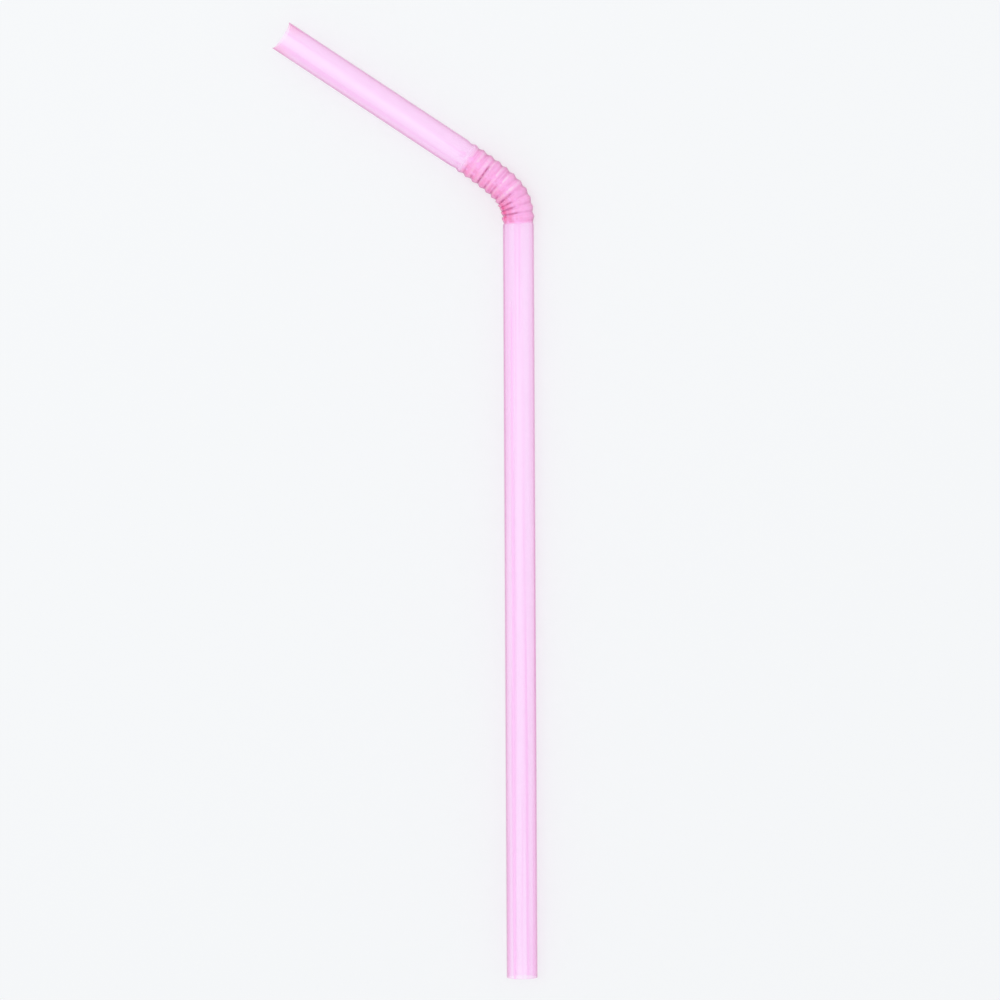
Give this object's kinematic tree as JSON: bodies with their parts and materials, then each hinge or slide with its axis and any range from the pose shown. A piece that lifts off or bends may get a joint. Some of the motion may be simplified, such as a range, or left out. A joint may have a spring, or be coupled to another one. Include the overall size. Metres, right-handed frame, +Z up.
{
  "type": "flexible drinking straw",
  "caption": "Thin-walled round drinking straw with a bellows near one end, bent at the bellows and lying flat, open at both ends.",
  "frame": {"origin": "on the surface that the straw lies on, under the centre of its bounding box", "axes": "+Z up from that surface; -Y along the long arm towards its open end; the short arm leads towards -X and +Y"},
  "size_m": [0.0508, 0.186, 0.0065],
  "materials": {
    "straw_plastic": "translucent pink plastic, smooth and glossy, deeper pink in the bellows"
  },
  "bodies": {
    "root": {"straw": "straw_plastic"}
  },
  "joints": []
}
